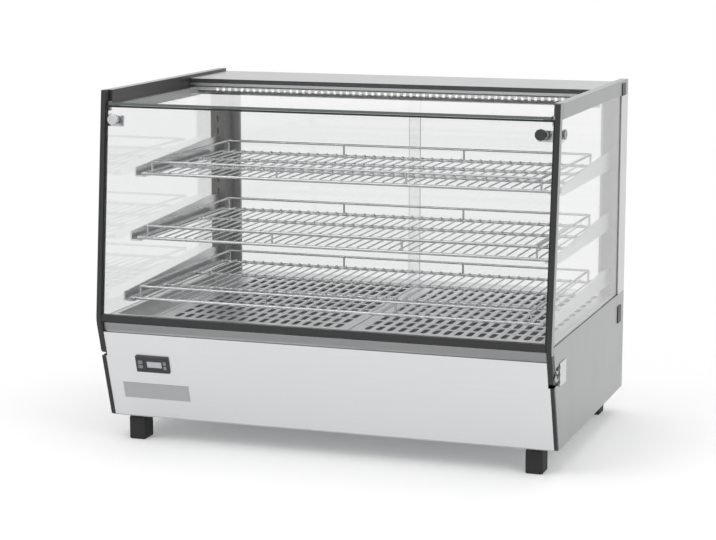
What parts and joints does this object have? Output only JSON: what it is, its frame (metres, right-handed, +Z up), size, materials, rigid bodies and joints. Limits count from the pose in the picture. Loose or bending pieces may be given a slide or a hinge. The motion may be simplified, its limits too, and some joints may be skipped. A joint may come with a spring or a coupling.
{
  "type": "heated display case",
  "caption": "Countertop heated display case with tilting front glass, wire shelves and rear sliding glass doors.",
  "frame": {"origin": "on the counter, under the middle of the case", "axes": "+X the customer's right, +Y to the back, +Z up"},
  "size_m": [0.8662, 0.6017, 0.661],
  "materials": {
    "stainless": "fine vertical brushed grain",
    "dark_steel": "brushed, in shade",
    "rail_aluminium": "satin anodised",
    "black_trim": "satin black",
    "rubber_black": "matt",
    "clear_glass": "clear toughened glass, polished edges",
    "chrome": "polished",
    "chrome_wire": "plated wire",
    "control_black": "fine textured black",
    "display_window": "smoked display window, blank",
    "key_grey": "soft touch",
    "plate_grey": "blank printed-metal grey",
    "led_white": "milky lens",
    "galvanised": "galvanised sheet",
    "fan_black": "moulded",
    "element_steel": "heat-tinted sheath",
    "rocker_black": "glossy black"
  },
  "bodies": {
    "cabinet": {"base_tray": "galvanised", "feet": "rubber_black", "left_side_panel": "dark_steel", "right_side_panel": "dark_steel", "lower_edge_trims": "black_trim", "back_panel": "stainless", "front_panel": "stainless", "front_sill": "dark_steel", "control_housing": "control_black", "control_window": "display_window", "blank_plate": "plate_grey", "left_side_glass": "clear_glass", "right_side_glass": "clear_glass", "left_top_rail": "rail_aluminium", "right_top_rail": "rail_aluminium", "rear_corner_posts": "rail_aluminium", "upright_bolt_caps": "black_trim", "roof_glass": "clear_glass", "rear_top_cover": "stainless", "led_bar": "rail_aluminium", "led_chips": "led_white", "lower_track": "rail_aluminium", "upper_track": "rail_aluminium", "shelf_uprights": "dark_steel", "shelf_arms": "stainless", "lower_shelf": "chrome_wire", "middle_shelf": "chrome_wire", "upper_shelf": "chrome_wire", "deck_frame": "stainless", "left_deck_plate": "stainless", "right_deck_plate": "stainless", "water_pan": "stainless", "hinge_leaves": "chrome", "hinge_brackets": "galvanised", "corner_catches": "chrome", "catch_screws": "rail_aluminium", "corner_brackets": "rail_aluminium", "air_duct": "galvanised", "fan_frames": "fan_black", "heating_elements": "element_steel", "switch_bodies": "control_black", "power_inlet": "control_black"},
    "front_door": {"front_side_strips": "black_trim", "front_bottom_rail": "black_trim", "front_glass": "clear_glass", "front_glass_top_seal": "rubber_black"},
    "left_knob": {"left_knob": "control_black"},
    "right_knob": {"right_knob": "control_black"},
    "left_rear_door": {"left_rear_door_glass": "clear_glass", "left_rear_door_grip": "rail_aluminium"},
    "right_rear_door": {"right_rear_door_glass": "clear_glass", "right_rear_door_grip": "rail_aluminium"},
    "set_key": {"set_key": "key_grey"},
    "power_key": {"power_key": "key_grey"},
    "up_key": {"up_key": "key_grey"},
    "down_key": {"down_key": "key_grey"},
    "heat_rocker": {"heat_rocker": "rocker_black"},
    "light_rocker": {"light_rocker": "rocker_black"},
    "left_fan_rotor": {"left_fan_rotor": "fan_black"},
    "right_fan_rotor": {"right_fan_rotor": "fan_black"}
  },
  "joints": [
    {"name": "front_glass_tilt", "type": "hinge", "parent": "cabinet", "child": "front_door", "pos_m": [0, -0.27263, 0.186], "axis": [1, 0, 0], "range_deg": [0, 75]},
    {"name": "left_knob_turn", "type": "hinge", "parent": "front_door", "child": "left_knob", "pos_m": [-0.4, -0.26215, 0.608], "axis": [0, -0.9953, 0.0967], "range_deg": [-180, 180]},
    {"name": "right_knob_turn", "type": "hinge", "parent": "front_door", "child": "right_knob", "pos_m": [0.4, -0.26215, 0.608], "axis": [0, -0.9953, 0.0967], "range_deg": [-180, 180]},
    {"name": "left_rear_door_slide", "type": "slide", "parent": "cabinet", "child": "left_rear_door", "axis": [1, 0, 0], "range_m": [0, 0.36]},
    {"name": "right_rear_door_slide", "type": "slide", "parent": "cabinet", "child": "right_rear_door", "axis": [-1, 0, 0], "range_m": [0, 0.36]},
    {"name": "set_key_press", "type": "slide", "parent": "cabinet", "child": "set_key", "axis": [0, 0.9555, 0.2951], "range_m": [0, 0.0008], "stiffness_N_per_m": 400},
    {"name": "power_key_press", "type": "slide", "parent": "cabinet", "child": "power_key", "axis": [0, 0.9555, 0.2951], "range_m": [0, 0.0008], "stiffness_N_per_m": 400},
    {"name": "up_key_press", "type": "slide", "parent": "cabinet", "child": "up_key", "axis": [0, 0.9555, 0.2951], "range_m": [0, 0.0008], "stiffness_N_per_m": 400},
    {"name": "down_key_press", "type": "slide", "parent": "cabinet", "child": "down_key", "axis": [0, 0.9555, 0.2951], "range_m": [0, 0.0008], "stiffness_N_per_m": 400},
    {"name": "heat_rocker_tilt", "type": "hinge", "parent": "cabinet", "child": "heat_rocker", "pos_m": [0.283, 0.2985, 0.12], "axis": [1, 0, 0], "range_deg": [-6, 6]},
    {"name": "light_rocker_tilt", "type": "hinge", "parent": "cabinet", "child": "light_rocker", "pos_m": [0.317, 0.2985, 0.12], "axis": [1, 0, 0], "range_deg": [-6, 6]},
    {"name": "left_fan_spin", "type": "hinge", "parent": "cabinet", "child": "left_fan_rotor", "pos_m": [-0.132, 0, 0.17], "axis": [0, 0, 1], "continuous": true},
    {"name": "right_fan_spin", "type": "hinge", "parent": "cabinet", "child": "right_fan_rotor", "pos_m": [0.228, 0, 0.17], "axis": [0, 0, 1], "continuous": true}
  ]
}
